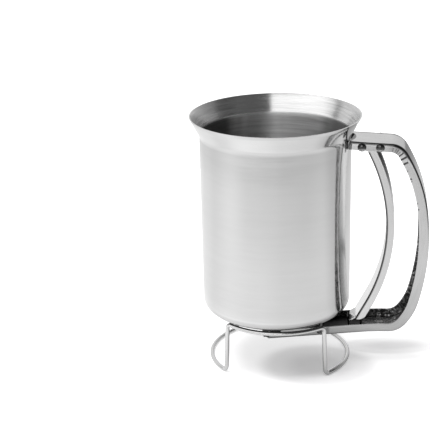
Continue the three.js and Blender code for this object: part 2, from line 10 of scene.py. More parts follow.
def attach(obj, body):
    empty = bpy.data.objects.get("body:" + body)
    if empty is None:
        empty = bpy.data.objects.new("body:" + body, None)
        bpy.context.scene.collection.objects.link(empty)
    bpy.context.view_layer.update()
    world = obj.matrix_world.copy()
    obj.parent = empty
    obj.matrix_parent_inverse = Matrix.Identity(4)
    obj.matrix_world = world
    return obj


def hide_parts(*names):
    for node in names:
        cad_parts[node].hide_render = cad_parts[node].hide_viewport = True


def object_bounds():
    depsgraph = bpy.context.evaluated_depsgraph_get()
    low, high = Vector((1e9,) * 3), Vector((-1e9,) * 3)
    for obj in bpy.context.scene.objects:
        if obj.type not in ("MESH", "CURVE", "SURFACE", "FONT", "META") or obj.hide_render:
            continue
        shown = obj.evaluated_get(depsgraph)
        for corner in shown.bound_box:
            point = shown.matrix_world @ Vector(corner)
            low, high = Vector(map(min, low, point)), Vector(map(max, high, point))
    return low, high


MM = 0.001
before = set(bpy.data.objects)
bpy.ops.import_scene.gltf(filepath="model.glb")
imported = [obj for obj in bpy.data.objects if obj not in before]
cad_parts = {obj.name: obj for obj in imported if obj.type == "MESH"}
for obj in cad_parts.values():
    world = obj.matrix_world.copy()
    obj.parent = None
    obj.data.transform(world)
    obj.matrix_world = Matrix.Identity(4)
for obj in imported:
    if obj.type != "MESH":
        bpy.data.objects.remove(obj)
cad_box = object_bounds()

# Sizes in millimetres, the same as the solids have. X is measured from the cup's axis.
CUP_HEIGHT = 179.0
BODY_RADIUS = 52.0
RIM_RADIUS = 58.9
FLARE_DROP = 13.0
FLARE_BLEND = 8.0
SHOULDER_HEIGHT = 41.8
SHOULDER_BLEND = 8.2
FUNNEL_SLOPE = math.radians(25.2)
SHEET = 0.8
GAP = 0.3
EDGE = 0.14  # how far sharp sheet edges are eased
CUP_SEGMENTS = 240

OUTLET_RADIUS = 5.5
FERRULE_RADIUS = 6.3
FERRULE_LIP = 2.4
OUTLET_HOLE = 6.8

CHANNEL_WIDTH = 27.0
CHANNEL_FOLD = 1.5
TOP_BAR_HEIGHT = 164.1
TOP_BAR_SLOPE = math.radians(2.9)
TOP_BAR_LENGTH = 26.5
TOP_FLANGE = 5.7
GRIP_FLANGE = 7.0
BOTTOM_FLANGE = 6.2
BOTTOM_SLOPE = math.radians(6.6)
BOTTOM_END = 10.5
END_BEVEL_LENGTH = 6.5
END_BEVEL_WIDTH = 9.5
RELIEF_WIDTH = 18.0
RELIEF_DEPTH = 2.3
FUNNEL_TIP_RISE = 1.3
GRIP_ARCS = [(0.0263, 55.5), (0.2035, 25.0), (0.3278, 22.0), (0.0832, 24.5)]
LOWER_BEND_SHARE = 0.0301
SAG_SHARE = 0.3291
SAG_TURN = math.radians(6.3)
PLAIN_START = 5.5  # of the top bar, before its first dent
PLAIN_END = 8.0  # of the lower run, where its end is bevelled
BAR_STATIONS = 0.5  # between the sections where the flanges are dented
ARCH_STATIONS = 0.4
DENT_REACH = 1.1
DENT_DEPTH = 0.38

RIVET_RADIUS = 1.0
HEAD_RADIUS = 2.95
HEAD_HEIGHT = 1.9
HEAD_GAP = 0.1
RIVET_SHARP = math.radians(50)
PIVOT_OUT = 7.1
PIVOT_DEPTH = 3.5
ANCHOR_SPACING = 12.2
ANCHOR_DEPTH = 3.1
GUIDE_REACH = 32.9
GUIDE_LIFT = 3.34

TRIGGER_WIDTH = 23.2
TRIGGER_FOLD = 1.3
TRIGGER_FLANGE = 5.5
TRIGGER_TOP_OUT = 3.7
TRIGGER_TOP_FALL = 3.3
TRIGGER_LEAD = math.radians(65)
TRIGGER_BOW = math.radians(52.9)
TRIGGER_LIFT = 10.3
TRIGGER_SHARES = (0.045, 0.855, 0.1)
TONGUE_WIDTH = 17.0
TONGUE_LENGTH = 5.0
TONGUE_ROOT = 0.6  # how far it runs into the web
TONGUE_BEND = math.radians(28)
EAR_RADIUS = 2.0

SPRING_WIRE = 0.7
SPRING_TURNS = 6.5
SPRING_PITCH = 1.3
SPRING_GAP = 0.35
SHORT_LEG_END = 1.6
LONG_LEG = 8.4
SQUEEZE = math.radians(8.5)

WIRE_RADIUS = 1.5
STAND_TOP_RADIUS = 47.3
STAND_FOOT_RADIUS = 49.0
STAND_BEND = 3.6
STAND_SHIFT = 2.0


# Lines, as lists of points in a plane


def unit(v):
    size = math.hypot(v[0], v[1])
    return (v[0] / size, v[1] / size)


def moved(p, d, distance):
    return (p[0] + d[0] * distance, p[1] + d[1] * distance)


def heading_vector(a):
    return (math.cos(a), math.sin(a))


def corner_at(a, p, b):
    """The ways from a corner to its two neighbours, and the angle between them."""
    before = unit((a[0] - p[0], a[1] - p[1]))
    after = unit((b[0] - p[0], b[1] - p[1]))
    return before, after, math.acos(max(-1, min(1, before[0] * after[0] + before[1] * after[1])))


def rounded_line(corners, step=math.radians(4)):
    """Corners (a, b, radius) joined by straight lines, with an arc in each corner that has a radius."""
    points = []
    for i, (a, b, radius) in enumerate(corners):
        if not radius or i in (0, len(corners) - 1):
            points.append((a, b))
            continue
        before, after, between = corner_at(corners[i - 1], (a, b), corners[i + 1])
        turn = math.pi - between
        middle = unit((before[0] + after[0], before[1] + after[1]))
        centre = moved((a, b), middle, radius / math.sin(between / 2))
        first = moved((a, b), before, radius * math.tan(turn / 2))
        start = math.atan2(first[1] - centre[1], first[0] - centre[0])
        sign = -1 if before[0] * after[1] - before[1] * after[0] > 0 else 1
        steps = max(1, math.ceil(turn / step))
        for k in range(steps + 1):
            points.append(moved(centre, heading_vector(start + sign * turn * k / steps), radius))
    return points


def headed_line(start, heading, pieces, spacing=2.0, step=math.radians(1.5)):
    """Stations (point, heading) of straight runs ("run", length) and clockwise arcs ("arc", radius, turn)."""
    stations = [(start, heading)]
    for piece in pieces:
        point, now = stations[-1]
        if piece[0] == "run":
            steps = max(1, math.ceil(piece[1] / spacing))
            for k in range(1, steps + 1):
                stations.append((moved(point, heading_vector(now), piece[1] * k / steps), now))
            continue
        _, radius, turn = piece
        steps = max(1, math.ceil(abs(turn) / step), math.ceil(radius * turn / spacing))
        chord = 2 * radius * math.sin(turn / steps / 2)
        for _ in range(steps):
            point = moved(point, heading_vector(now - turn / steps / 2), chord)
            now -= turn / steps
            stations.append((point, now))
    return stations


# Meshes


SHARP = math.radians(35)  # a bend above this shades as an edge


def mesh_object(name, verts, faces, body, slot, material, nodes=(), sharp=SHARP, uvs=None):
    """A mesh of points in millimetres about the cup's axis, on a body and in place of CAD nodes."""
    mesh = bpy.data.meshes.new(name)
    mesh.from_pydata([((x + AXIS_X) * MM, y * MM, z * MM) for x, y, z in verts], [], faces)
    if uvs:
        layer = mesh.uv_layers.new(name="path")
        for corner, uv in zip(layer.uv, [uv for face in uvs for uv in face]):
            corner.vector = uv
    outward = bmesh.new()
    outward.from_mesh(mesh)
    bmesh.ops.recalc_face_normals(outward, faces=outward.faces)
    outward.to_mesh(mesh)
    outward.free()
    mesh.shade_smooth()
    mesh.set_sharp_from_angle(angle=sharp)
    mesh.materials.append(material)
    obj = bpy.data.objects.new(name, mesh)
    bpy.context.scene.collection.objects.link(obj)
    if body:
        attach(obj, body)
    if nodes:
        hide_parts(*nodes)
    return obj


def combine_with(obj, verts, faces, operation):
    """Cuts another closed mesh from the object or adds it."""
    other = mesh_object(obj.name + "_tool", verts, faces, None, None, obj.data.materials[0])
    step = obj.modifiers.new("step", "BOOLEAN")
    step.operation = operation
    step.solver = "EXACT"
    step.object = other
    shaped = bpy.data.meshes.new_from_object(obj.evaluated_get(bpy.context.evaluated_depsgraph_get()))
    obj.modifiers.clear()
    shaped.name = obj.name
    obj.data = shaped
    shaped.set_sharp_from_angle(angle=SHARP)
    bpy.data.objects.remove(other)


def ring_faces(rings, count, closed_rings=False, closed_ring=True, flip=False):
    """Quads between rings of count points each."""
    faces = []
    last = rings if closed_rings else rings - 1
    around = count if closed_ring else count - 1
    for i in range(last):
        for k in range(around):
            a = i * count + k
            b = i * count + (k + 1) % count
            c = ((i + 1) % rings) * count + (k + 1) % count
            d = ((i + 1) % rings) * count + k
            faces.append((a, d, c, b) if flip else (a, b, c, d))
    return faces


def lathe(profile, segments):
    """A closed profile of (radius, height) points turned round the cup's axis."""
    verts = []
    for k in range(segments):
        c, s = heading_vector(2 * math.pi * k / segments)
        verts += [(r * c, r * s, z) for r, z in profile]
    return verts, ring_faces(segments, len(profile), closed_rings=True)


def sweep(loops):
    """Closed loops of the same number of points, joined and capped."""
    count = len(loops[0])
    verts = [p for loop in loops for p in loop]
    faces = ring_faces(len(loops), count)
    end = (len(loops) - 1) * count
    return verts, faces + [tuple(reversed(range(count))), tuple(range(end, end + count))]


def path_uvs(loops, faces):
    """Each face corner's distance along the sweep and round its section, in metres."""
    count = len(loops[0])
    along, around = [0.0], [0.0]
    for a, b in zip(loops, loops[1:]):
        middles = [[sum(p[i] for p in loop) / count for i in range(3)] for loop in (a, b)]
        along.append(along[-1] + math.dist(*middles) * MM)
    for a, b in zip(loops[0], loops[0][1:] + loops[0][:1]):
        around.append(around[-1] + math.dist(a, b) * MM)
    uvs = []
    for face in faces:
        corners = [(along[i // count], around[i % count]) for i in face]
        if len(face) == 4 and face[1] % count == 0:
            corners[1] = (corners[1][0], around[count])
            corners[2] = (corners[2][0], around[count])
        uvs.append(corners)
    return uvs


# The cup's wall line, moved in by an inset

FLARE_LEAN = math.atan2(RIM_RADIUS - BODY_RADIUS, FLARE_DROP)


def funnel_height(radius, inset=0.0):
    fall = (BODY_RADIUS - radius) * math.tan(FUNNEL_SLOPE)
    return SHOULDER_HEIGHT - fall + inset / math.cos(FUNNEL_SLOPE)


def wall_line(inset, end_radius):
    rim = RIM_RADIUS - inset / math.cos(FLARE_LEAN)
    wall = BODY_RADIUS - inset
    return rounded_line([
        (rim, CUP_HEIGHT, 0),
        (wall, CUP_HEIGHT - (rim - wall) / math.tan(FLARE_LEAN), FLARE_BLEND + inset),
        (wall, funnel_height(wall, inset), SHOULDER_BLEND - inset),
        (end_radius, funnel_height(end_radius, inset), 0),
    ])


def eased(outline, radius, sharper=math.radians(40)):
    """A closed outline with its sharp corners rounded a little."""
    points = []
    count = len(outline)
    for i, p in enumerate(outline):
        a, b = outline[i - 1], outline[(i + 1) % count]
        before, after, between = corner_at(a, p, b)
        if math.pi - between < sharper:
            points.append(p)
            continue
        shortest = min(math.dist(a, p), math.dist(b, p))
        reach = min(radius / math.tan(between / 2), 0.45 * shortest)
        middle = unit((before[0] + after[0], before[1] + after[1]))
        inset = reach * (1 - math.sin(between / 2)) / math.cos(between / 2)
        points += [moved(p, before, reach), moved(p, middle, inset), moved(p, after, reach)]
    return points


def spaced(line, spacing):
    """An open line with points added on its long straight parts."""
    points = [line[0]]
    for a, b in zip(line, line[1:]):
        steps = max(1, math.ceil(math.dist(a, b) / spacing))
        for k in range(1, steps + 1):
            points.append((a[0] + (b[0] - a[0]) * k / steps, a[1] + (b[1] - a[1]) * k / steps))
    return points


def prism(outline, low, high, place):
    """A closed outline made solid between two distances. place(a, b, distance) gives a point in space."""
    count = len(outline)
    verts = [place(a, b, low) for a, b in outline] + [place(a, b, high) for a, b in outline]
    faces = [(k, (k + 1) % count, count + (k + 1) % count, count + k) for k in range(count)]
    faces += [tuple(reversed(range(count))), tuple(range(count, 2 * count))]
    return verts, faces


def channel_section(width, sheet, fold, depth, spacing=1.4):
    """The section of a folded channel as a closed loop of (across, up): web at 0, flanges up to depth."""
    side = width / 2
    inner = side - sheet
    outer_line = rounded_line(
        [(-side, depth, 0), (-side, 0, fold), (side, 0, fold), (side, depth, 0)], math.radians(15)
    )
    inner_line = rounded_line(
        [(inner, depth, 0), (inner, sheet, fold - sheet), (-inner, sheet, fold - sheet), (-inner, depth, 0)],
        math.radians(15),
    )
    return eased(spaced(outer_line, spacing) + spaced(inner_line, spacing), EDGE)


def channel_loops(stations, section, fold, nominal, opens, depths, shift_at=None):
    """The section set at each station, its flanges stretched to that station's depth."""
    loops = []
    for i, (point, heading) in enumerate(stations):
        up = (-math.sin(heading) * opens, math.cos(heading) * opens)
        along = heading_vector(heading)
        loop = []
        for across, rise in section:
            if rise > fold:
                rise = fold + (rise - fold) * (depths[i] - fold) / (nominal - fold)
            x, z = moved(point, up, rise)
            if shift_at:
                x, z = moved((x, z), along, shift_at(i, x, across, rise, heading))
            loop.append((x, across, z))
        loops.append(loop)
    return loops


# The handle's line

GATE_TOP = SHEET + GAP + SHEET
FUNNEL_MOUTH = FERRULE_RADIUS + GAP
BOTTOM_HEIGHT = funnel_height(FUNNEL_MOUTH) - FUNNEL_TIP_RISE - GATE_TOP / math.cos(BOTTOM_SLOPE)
LOWER_HEADING = BOTTOM_SLOPE - math.pi


def above_lower_run(p):
    return -p[0] * math.sin(BOTTOM_SLOPE) + (p[1] - BOTTOM_HEIGHT) * math.cos(BOTTOM_SLOPE)


def on_lower_run(along, lift):
    foot = moved((0, BOTTOM_HEIGHT), heading_vector(BOTTOM_SLOPE), along)
    return moved(foot, (-math.sin(BOTTOM_SLOPE), math.cos(BOTTOM_SLOPE)), lift)


def size_to_reach(start, heading, pieces_of, lift):
    trial = headed_line(start, heading, pieces_of(CUP_HEIGHT))[-1][0]
    low, high = above_lower_run(start), above_lower_run(trial)
    return CUP_HEIGHT * (lift - low) / (high - low)


def top_bar_outer(x):
    return TOP_BAR_HEIGHT - (x - BODY_RADIUS) * math.tan(TOP_BAR_SLOPE)


def grip_pieces(size):
    turned = TOP_BAR_SLOPE + sum(math.radians(turn) for _, turn in GRIP_ARCS)
    pieces = [("arc", share * size, math.radians(turn)) for share, turn in GRIP_ARCS]
    bend = ("arc", LOWER_BEND_SHARE * size, SAG_TURN - LOWER_HEADING - turned)
    return pieces + [bend, ("arc", -SAG_SHARE * size, -SAG_TURN)]


def handle_line():
    """Stations of the handle's outer side, from the cup's wall round to the lower run's end."""
    heading = -TOP_BAR_SLOPE
    start = (BODY_RADIUS, top_bar_outer(BODY_RADIUS))
    dented_from = moved(start, heading_vector(heading), PLAIN_START)
    rest = [("run", TOP_BAR_LENGTH - PLAIN_START)]
    bar = [(start, heading)] + headed_line(dented_from, heading, rest, BAR_STATIONS)
    pieces = grip_pieces(size_to_reach(bar[-1][0], heading, grip_pieces, 0))
    grip = headed_line(bar[-1][0], heading, pieces[:2], ARCH_STATIONS)
    grip += headed_line(*grip[-1], pieces[2:])[1:]
    end = grip[-1][0]
    run = (end[0] + BOTTOM_END) / math.cos(BOTTOM_SLOPE) - PLAIN_END
    lower = headed_line(end, LOWER_HEADING, [("run", run)])
    tip = moved(lower[-1][0], heading_vector(LOWER_HEADING), PLAIN_END)
    return bar + grip[1:] + lower[1:] + [(tip, LOWER_HEADING)]


HANDLE = handle_line()
HANDLE_REACH = (cad_box[1][0] - cad_box[0][0]) / MM - RIM_RADIUS
AXIS_X = cad_box[0][0] / MM + RIM_RADIUS

PIVOT = (BODY_RADIUS + PIVOT_OUT, top_bar_outer(BODY_RADIUS + PIVOT_OUT) - PIVOT_DEPTH)
ANCHOR_X = PIVOT[0] + ANCHOR_SPACING
ANCHOR = (ANCHOR_X, top_bar_outer(ANCHOR_X) - ANCHOR_DEPTH)
GUIDE = on_lower_run(GUIDE_REACH, GUIDE_LIFT)


def sideways(a, b, distance):
    return (a, distance, b)


# Materials


def grey(value):
    return (value, value, value, 1)


class Tree:
    """A node tree with short ways to add nodes."""

    def __init__(self, node_tree):
        self.links = node_tree.links
        self.nodes = node_tree.nodes

    def put(self, socket, value):
        if isinstance(value, bpy.types.NodeSocket):
            self.links.new(value, socket)
        else:
            socket.default_value = value

    def fill(self, node, values):
        """Links or sets the inputs of a node by their names."""
        for name, value in values.items():
            self.put(node.inputs[name], value)
        return node

    def node(self, kind, *values, **settings):
        """A new node with its settings, and with its first inputs linked or set."""
        node = self.nodes.new("ShaderNode" + kind)
        for name, setting in settings.items():
            setattr(node, name, setting)
        for socket, value in zip(node.inputs, values):
            self.put(socket, value)
        return node

    def math(self, operation, a, b=0.0, c=0.0):
        return self.node("Math", a, b, c, operation=operation).outputs[0]

    def distance(self, value, middle):
        """How far a value is from a middle one."""
        return self.math("ABSOLUTE", self.math("SUBTRACT", value, middle))

    def vector(self, operation, a, b=(0, 0, 0)):
        outputs = self.node("VectorMath", a, b, operation=operation).outputs
        return outputs["Value" if operation in ("LENGTH", "DOT_PRODUCT") else "Vector"]

    def scaled(self, color, share):
        return self.fill(self.node("VectorMath", color, operation="SCALE"), {"Scale": share}).outputs[0]

    def combine(self, x, y, z):
        return self.node("CombineXYZ", x, y, z).outputs[0]

    def parts(self, vector):
        return self.node("SeparateXYZ", vector).outputs

    def place(self):
        """The place on the piece itself, which stays the same when the piece moves."""
        return self.node("TexCoord").outputs["Object"]

    def facing_up(self):
        """1 where the surface faces up, -1 where it faces down."""
        return self.parts(self.node("NewGeometry").outputs["Normal"])[2]

    def path(self):
        """The distance along the piece and round its section, in metres."""
        return self.node("UVMap", uv_map="path").outputs[0]

    def noise(self, place, scale, detail=4.0, roughness=0.6, distortion=0.0):
        """Noise at one scale, or at one for each direction."""
        if isinstance(scale, tuple):
            place, scale = self.vector("MULTIPLY", place, scale), 1.0
        values = {"Vector": place, "Scale": scale, "Detail": detail, "Roughness": roughness}
        return self.fill(self.node("TexNoise"), {**values, "Distortion": distortion}).outputs["Fac"]

    def grain(self, fine, wide, wide_share):
        """Fine and wide marks together."""
        return self.math("MULTIPLY_ADD", wide, wide_share, self.math("MULTIPLY", fine, 1 - wide_share))

    def streaked(self, grain, tone, streak):
        """A grey, darker in the grain's low marks by the share called streak."""
        return self.ramp(grain, [(0.3, tone * (1 - streak)), (0.68, tone)])

    def rough_from(self, grain, roughness):
        return self.span(grain, 0.3, 0.7, *roughness)

    def ramp(self, value, stops, smooth=True):
        """A ramp of (position, grey)."""
        node = self.node("ValToRGB", value)
        node.color_ramp.interpolation = "EASE" if smooth else "LINEAR"
        elements = node.color_ramp.elements
        while len(elements) < len(stops):
            elements.new(0.5)
        for element, (position, tone) in zip(elements, stops):
            element.position = position
            element.color = grey(tone)
        return node.outputs["Color"]

    def span(self, value, low, high, to_low=0.0, to_high=1.0, smooth=False):
        steps = "SMOOTHSTEP" if smooth else "LINEAR"
        return self.node("MapRange", value, low, high, to_low, to_high, interpolation_type=steps).outputs[0]

    def mix(self, share, a, b):
        node = self.node("Mix", share, data_type="RGBA")
        for socket, value in zip([i for i in node.inputs if i.type == "RGBA"], (a, b)):
            self.put(socket, value)
        return [o for o in node.outputs if o.type == "RGBA"][0]

    def bump(self, height, strength, distance):
        values = {"Strength": strength, "Distance": distance, "Height": height}
        return self.fill(self.node("Bump"), values).outputs["Normal"]


def started(name, metallic=1.0, anisotropic=0.0):
    """A new material with its shader. Anisotropic ones are brushed round the cup's axis."""
    material = bpy.data.materials.new(name)
    material.use_nodes = True
    tree = Tree(material.node_tree)
    shader = tree.fill(tree.nodes["Principled BSDF"], {"Metallic": metallic, "Anisotropic": anisotropic})
    if anisotropic:
        tangent = tree.node("Tangent", direction_type="RADIAL", axis="Z").outputs[0]
        tree.fill(shader, {"Anisotropic Rotation": 0.25, "Tangent": tangent})
    return material, tree, shader


def finish_steel(tree, shader, color, rough, relief, strength, depth):
    """Links a material's colour, roughness and relief, whose depth is in millimetres."""
    normal = tree.bump(relief, strength, depth * MM)
    tree.fill(shader, {"Base Color": color, "Roughness": rough, "Normal": normal})


def turned_place(tree):
    """(direction x, direction y, radius + height) about the cup's axis, for marks that run round it."""
    x, y, z = tree.parts(tree.vector("SUBTRACT", tree.place(), (AXIS_X * MM, 0, 0)))
    flat = tree.combine(x, y, 0.0)
    radius = tree.vector("LENGTH", flat)
    dx, dy, _ = tree.parts(tree.vector("NORMALIZE", flat))
    return tree.combine(dx, dy, tree.math("ADD", radius, z))


# Painted reflection: dark lines on the outer wall beside the top welds, standing in for the handle's flanges
# mirrored in the wall
FLANGE_REFLECTION_SIDE = 0.366  # of the wall's radius, from the handle's plane to the painted dark reflection of a handle flange
FLANGE_REFLECTION_HEIGHT = 162.0
FLANGE_REFLECTION_DARK = 0.8
DEEP_BLEND = 1.2  # over which the flare's inside turns into the deeper wall
FUNNEL_SHADE_HEIGHTS = (38.6, 39.9)  # below this the outside is darker: painted shade on the funnel under the cup


def painted_flange_reflection(tree, place, height):
    """Painted reflection: dark lines on the wall beside the two top welds, where the handle's flanges are
    mirrored in it.
    """
    dx, dy, _ = tree.parts(place)
    off = tree.distance(tree.math("ABSOLUTE", dy), FLANGE_REFLECTION_SIDE)
    beside = tree.span(off, 0.01, 0.034, 1.0, 0.0, smooth=True)
    off = tree.distance(height, FLANGE_REFLECTION_HEIGHT * MM)
    level = tree.span(off, 2.8 * MM, 4.2 * MM, 1.0, 0.0, smooth=True)
    on_handle_side = tree.math("GREATER_THAN", dx, 0.0)
    mark = tree.math("MULTIPLY", beside, tree.math("MULTIPLY", level, on_handle_side))
    return tree.math("MULTIPLY_ADD", mark, -FLANGE_REFLECTION_DARK, 1.0)


def deep_with_painted_light(tree, place, height, color, rough, rougher):
    """Colour and roughness of the cup's inside: below the flare it is rougher, with painted shade and painted
    light round it.
    """
    edge = CUP_HEIGHT - FLARE_DROP
    deep = tree.span(height, edge * MM, (edge + DEEP_BLEND) * MM, 1.0, 0.0)
    # Painted shade and painted highlight round the inner wall
    tones = tree.ramp(tree.span(tree.parts(place)[0], -1.0, 1.0), DEEP_PAINTED_LIGHT)
    color = tree.vector("MULTIPLY", color, tree.mix(deep, grey(1), tones))
    return color, tree.math("MULTIPLY_ADD", deep, rougher, rough)


def turned_steel(name, tone, roughness, marks, streak, bump, anisotropic=0.0, metallic=1.0, rougher=0.0):
    """Steel brushed round the cup's axis. marks is how many brush marks there are in a metre.
    With rougher it is the cup's inside, with painted light and shade below the flare; without it the outside,
    with painted shade on the funnel and painted reflections of the handle's flanges beside the welds."""
    material, tree, shader = started(name, metallic, anisotropic)
    place = turned_place(tree)
    height = tree.parts(tree.place())[2]
    fine = tree.noise(place, (2.2, 2.2, marks), 6.0, 0.7)
    wide = tree.noise(place, (1.2, 1.2, marks / 4), 3.0, 0.5)
    grain = tree.grain(fine, wide, 0.45)
    color = tree.streaked(grain, tone, streak)
    rough = tree.rough_from(grain, roughness)
    if rougher:
        color, rough = deep_with_painted_light(tree, place, height, color, rough, rougher)
    else:
        # Painted shade on the funnel's outside under the cup, and the painted reflection of the handle's
        # flanges
        funnel_shade = tree.span(height, FUNNEL_SHADE_HEIGHTS[0] * MM, FUNNEL_SHADE_HEIGHTS[1] * MM, 0.2, 1.0, smooth=True)
        color = tree.scaled(color, tree.math("MULTIPLY", funnel_shade, painted_flange_reflection(tree, place, height)))
    finish_steel(tree, shader, color, rough, grain, bump, 0.04)
    return material


def crease_shaded(tree, color, u, v):
    """A colour with painted shade along the creases across both flanges of the handle."""
    wander = tree.noise(tree.combine(u, v, 0.0), 900.0, 2.0)
    from_edge = tree.math("MINIMUM", v, tree.math("SUBTRACT", HANDLE_GIRTH, v))
    across = tree.math("MULTIPLY_ADD", wander, 0.6 * MM, from_edge)
    along = tree.math("MULTIPLY_ADD", wander, 0.9 * MM, u)
    for middle, half, low, high, dark in CREASES:
        off = tree.distance(along, (middle + 0.45) * MM)
        line = tree.span(off, 0.3 * half * MM, half * MM, 1.0, 0.0, smooth=True)
        off = tree.distance(across, ((low + high) / 2 + 0.3) * MM)
        reach = (high - low) / 2
        within = tree.span(off, (reach - 0.3) * MM, (reach + 0.3) * MM, 1.0, 0.0, smooth=True)
        share = tree.math("MULTIPLY", tree.math("MULTIPLY", line, within), 1 - dark)
        color = tree.mix(share, color, grey(0.02))
    return color


def folded(tree, color, u, v, folds, dark, fade, widths):
    """A colour with a line of painted shade along each fold, given where the folds lie round the section."""
    for middle in folds:
        off = tree.distance(v, middle)
        if widths:
            wider = tree.ramp(tree.span(u, 0.0, 0.12), widths, smooth=False)
            off = tree.math("MULTIPLY", off, wider)
        line = tree.span(off, 0.0005, 0.0013, dark, 1.0, smooth=True)
        if fade:
            line = tree.math("MAXIMUM", line, tree.span(u, *fade, smooth=True))
        color = tree.scaled(color, line)
    return color


def drawn_steel(
    name, tone, roughness, streak, bump, brush=(60.0, 2500.0), folds=(), dark=0.3, fade=None, widths=None,
    darkening_along=None, contact_shadow_height=None
):
    """Steel brushed along its own path. The folds get lines of painted shade, gone past the fade and narrower
    where widths is high. With wear it gets darker along the handle by those tones and has painted shade in
    the handle's creases. touched is the height at which its upward faces get a painted contact shadow."""
    material, tree, shader = started(name)
    path = tree.path()
    fine = tree.noise(path, (*brush, 1), 5.0, 0.65)
    wide = tree.noise(path, (45, 160, 1), 2.0)
    grain = tree.grain(fine, wide, 0.35)
    u, v, _ = tree.parts(path)
    color = tree.streaked(grain, tone, streak)
    # Painted shade along the folds
    color = folded(tree, color, u, v, folds, dark, fade, widths)
    if darkening_along:
        # Painted shade in the handle's creases
        color = crease_shaded(tree, color, u, v)
        # Darker further along the handle
        darker_along = tree.ramp(tree.span(u, 0.0, 0.28), darkening_along, smooth=False)
        color = tree.vector("MULTIPLY", color, darker_along)
    if contact_shadow_height:
        # Painted contact shadow on the wire's upper side, where the cup sits on it
        top = tree.span(tree.parts(tree.place())[2], contact_shadow_height - 1.5 * MM, contact_shadow_height, smooth=True)
        top = tree.math("MULTIPLY", top, tree.span(tree.facing_up(), 0.45, 0.72, smooth=True))
        color = tree.mix(top, color, grey(0.1))
    finish_steel(tree, shader, color, tree.rough_from(grain, roughness), grain, bump, 0.05)
    return material


def fold_places(width, fold, depth):
    """Where the middles of a channel's two folds lie round its section, in metres."""
    first = depth - fold + fold * math.pi / 4
    return (first * MM, (first + width - 2 * fold + fold * math.pi / 2) * MM)


def plain_steel(name, tone, roughness, streak, bump, scale, painted_shade_above=None):
    """Steel with fine marks in no direction. painted_shade_above is how dark its painted shade leaves it
    where it does not face down.
    """
    material, tree, shader = started(name)
    grain = tree.noise(tree.place(), scale)
    color = tree.streaked(grain, tone, streak)
    rough = tree.rough_from(grain, roughness)
    if painted_shade_above:
        rise = tree.facing_up()
        rough = tree.math("ADD", rough, tree.span(rise, -0.42, -0.2, 0.35, 0.0, smooth=True))
        color = tree.scaled(color, tree.span(rise, -0.42, -0.2, 1.0, painted_shade_above, smooth=True))
    finish_steel(tree, shader, color, rough, grain, bump, 0.1)
    return material


def shaded_inside(name, tones, ripple, length, marks, strength=0.8, web=None):
    """The unpolished inside of a folded sheet, with painted shade in tones over its length and painted
    highlights in its swirls. ripple is (along, across). web is (middle, half width, end, tone) of the web's
    part left brighter."""
    material, tree, shader = started(name)
    path = tree.path()
    swirls = tree.noise(path, (*ripple, 1), 3.0, 0.55, 1.6)
    fine = tree.noise(path, (120, 1500, 1), 3.0, 0.6)
    relief = tree.math("MULTIPLY_ADD", fine, 0.2, tree.math("MULTIPLY", swirls, 0.9))
    u, v, _ = tree.parts(path)
    tone = tree.ramp(tree.span(u, 0.0, length), tones, smooth=False)
    if web:
        middle, half, end, bright = web
        across = tree.span(tree.distance(v, middle), half - 0.001, half, 1.0, 0.0)
        along = tree.span(u, end - 0.02, end, 1.0, 0.0)
        tone = tree.mix(tree.math("MULTIPLY", across, along), tone, grey(bright))
    color = tree.vector("MULTIPLY", tone, tree.ramp(relief, marks))
    rough = tree.span(relief, 0.4, 0.8, 0.45, 0.25)
    finish_steel(tree, shader, color, rough, relief, strength, 0.4)
    return material


# Painted shade and light of the inner wall below the flare, from the side away from the handle to the
# handle's side:
# shade towards both sides, a painted highlight between
DEEP_PAINTED_LIGHT = [
    (0.0, 0.15), (0.12, 0.2), (0.2, 0.78), (0.26, 1.12), (0.44, 1.16), (0.52, 0.97), (0.6, 0.93), (0.76, 0.9),
    (0.84, 0.52), (0.9, 0.36), (0.97, 0.28),
]
HANDLE_GIRTH = 0.0371  # round the outer side of the top bar's section, in metres
# Creases of the bent flanges, in millimetres: along the handle, half width, from, to and how light their
# painted shade leaves them
CREASES = [
    (0.2, 0.9, -1.0, 30.0, 0.2), (16.0, 15.0, -1.0, 5.4, 0.84), (29.5, 6.5, -1.0, 5.4, 0.74),
    (28.3, 0.7, 0.4, 3.4, 0.5), (30.7, 0.8, 0.2, 3.6, 0.5), (32.3, 0.8, 0.2, 3.6, 0.4),
    (34.2, 0.7, -1.0, 3.0, 0.5), (36.3, 0.9, -1.0, 4.0, 0.1), (39.9, 1.0, -1.0, 4.2, 0.1),
    (43.6, 1.0, -1.0, 3.3, 0.08), (49.1, 0.7, -1.0, 1.0, 0.4), (55.5, 0.8, -0.2, 1.2, 0.06),
    (57.4, 0.6, 0.0, 1.0, 0.4), (74.1, 0.7, -1.0, 0.8, 0.35), (78.8, 0.8, -1.0, 1.0, 0.2),
]
OUTSIDE = turned_steel("cup_outside", 0.83, (0.08, 0.13), 900.0, 0.04, 0.03)
INSIDE = turned_steel("cup_inside", 0.86, (0.19, 0.3), 1500.0, 0.32, 0.25, 0.85, 0.97, 0.2)
HANDLE_STEEL = drawn_steel(
    "handle_sheet", 0.82, (0.12, 0.22), 0.16, 0.14,
    folds=fold_places(CHANNEL_WIDTH, CHANNEL_FOLD, TOP_FLANGE), dark=0.13, fade=(0.07, 0.105),
    widths=[(0.0, 1.2), (0.2, 1.15), (0.25, 0.62), (0.33, 0.62), (0.38, 1.2), (0.5, 1.5), (1.0, 1.7)],
    darkening_along=[(0.45, 1.0), (0.54, 0.88), (0.6, 0.75), (0.68, 0.74), (0.8, 0.66), (0.9, 0.6)],
)
TRIGGER_STEEL = drawn_steel(
    "trigger_sheet", 0.86, (0.12, 0.22), 0.08, 0.12,
    folds=fold_places(TRIGGER_WIDTH, TRIGGER_FOLD, TRIGGER_FLANGE), dark=0.16,
)
